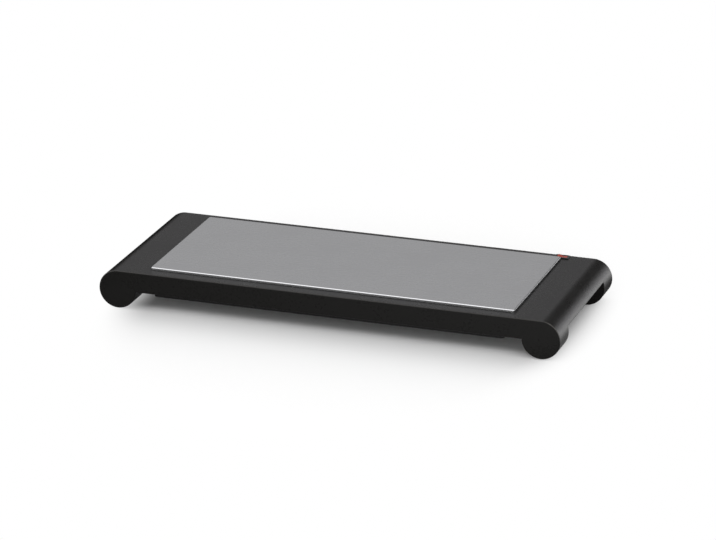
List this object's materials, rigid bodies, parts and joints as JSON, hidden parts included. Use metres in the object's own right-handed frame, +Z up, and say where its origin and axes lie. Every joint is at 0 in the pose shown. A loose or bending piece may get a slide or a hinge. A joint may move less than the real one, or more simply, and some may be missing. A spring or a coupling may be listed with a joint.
{
  "type": "electric food warmer tray",
  "caption": "Slim electric warming tray with rolled ends as drum feet and hand grips, a raised steel heating plate and a rocker switch.",
  "frame": {"origin": "on the table surface, under the middle of the tray", "axes": "+X along the tray to the right, +Y to the rear, +Z up; the switch and the mains inlet are at the right rear"},
  "size_m": [0.6, 0.238, 0.0538],
  "materials": {
    "housing_plastic": "satin black moulding with a fine grain",
    "plate_steel": "satin brushed stainless steel",
    "gasket_silicone": "dark grey silicone",
    "sheet_aluminium": "mill finish sheet",
    "element_sheath": "heat-darkened tube",
    "zinc_steel": "zinc plated sheet steel",
    "screw_steel": "plated steel",
    "fibre_mat": "white ceramic fibre mat",
    "cover_steel": "fine textured black paint",
    "pad_rubber": "matte black rubber",
    "thermostat_ceramic": "cream unglazed ceramic",
    "fitting_brass": "bright brass",
    "fitting_plastic": "black moulding",
    "rocker_red": "translucent red moulding",
    "lamp_glass": "clear glass lamp",
    "wire_brown": "brown insulation",
    "wire_blue": "blue insulation",
    "wire_green": "green insulation",
    "wire_white": "white braided heat-proof sleeve"
  },
  "bodies": {
    "tray": {"housing_frame": "housing_plastic", "heating_plate": "plate_steel", "plate_gasket": "gasket_silicone", "heat_spreader": "sheet_aluminium", "heating_element": "element_sheath", "element_clamp_1": "zinc_steel", "element_clamp_2": "zinc_steel", "element_clamp_3": "zinc_steel", "element_clamp_4": "zinc_steel", "insulation_mat": "fibre_mat", "heat_shield": "zinc_steel", "plate_clamp_bar_1": "zinc_steel", "plate_clamp_bar_2": "zinc_steel", "plate_clamp_bar_3": "zinc_steel", "plate_nut_1": "zinc_steel", "plate_nut_2": "zinc_steel", "plate_nut_3": "zinc_steel", "plate_nut_4": "zinc_steel", "plate_nut_5": "zinc_steel", "plate_nut_6": "zinc_steel", "earth_lug": "fitting_brass", "bottom_cover": "cover_steel", "cover_screw_1": "screw_steel", "cover_screw_2": "screw_steel", "cover_screw_3": "screw_steel", "cover_screw_4": "screw_steel", "cover_screw_5": "screw_steel", "cover_screw_6": "screw_steel", "cover_screw_7": "screw_steel", "cover_screw_8": "screw_steel", "foot_pad_1": "pad_rubber", "foot_pad_2": "pad_rubber", "foot_pad_3": "pad_rubber", "foot_pad_4": "pad_rubber", "thermostat": "thermostat_ceramic", "thermostat_screw_1": "screw_steel", "thermostat_screw_2": "screw_steel", "thermal_fuse": "fitting_brass", "fuse_clip": "zinc_steel", "inlet_body": "fitting_plastic", "inlet_pin_live": "fitting_brass", "inlet_pin_neutral": "fitting_brass", "inlet_pin_earth": "fitting_brass", "switch_body": "fitting_plastic", "switch_terminal_1": "fitting_brass", "switch_terminal_2": "fitting_brass", "switch_terminal_3": "fitting_brass", "wire_live_in": "wire_brown", "wire_live_switched": "wire_brown", "wire_fuse": "wire_white", "wire_element": "wire_white", "wire_neutral": "wire_blue", "wire_lamp": "wire_blue", "wire_earth": "wire_green"},
    "rocker": {"switch_rocker": "rocker_red", "switch_lamp": "lamp_glass"}
  },
  "joints": [
    {"name": "rocker_tilt", "type": "hinge", "parent": "tray", "child": "rocker", "pos_m": [0.236, 0.11005, 0.0474], "axis": [0, -1, 0], "range_deg": [0, 20]}
  ]
}
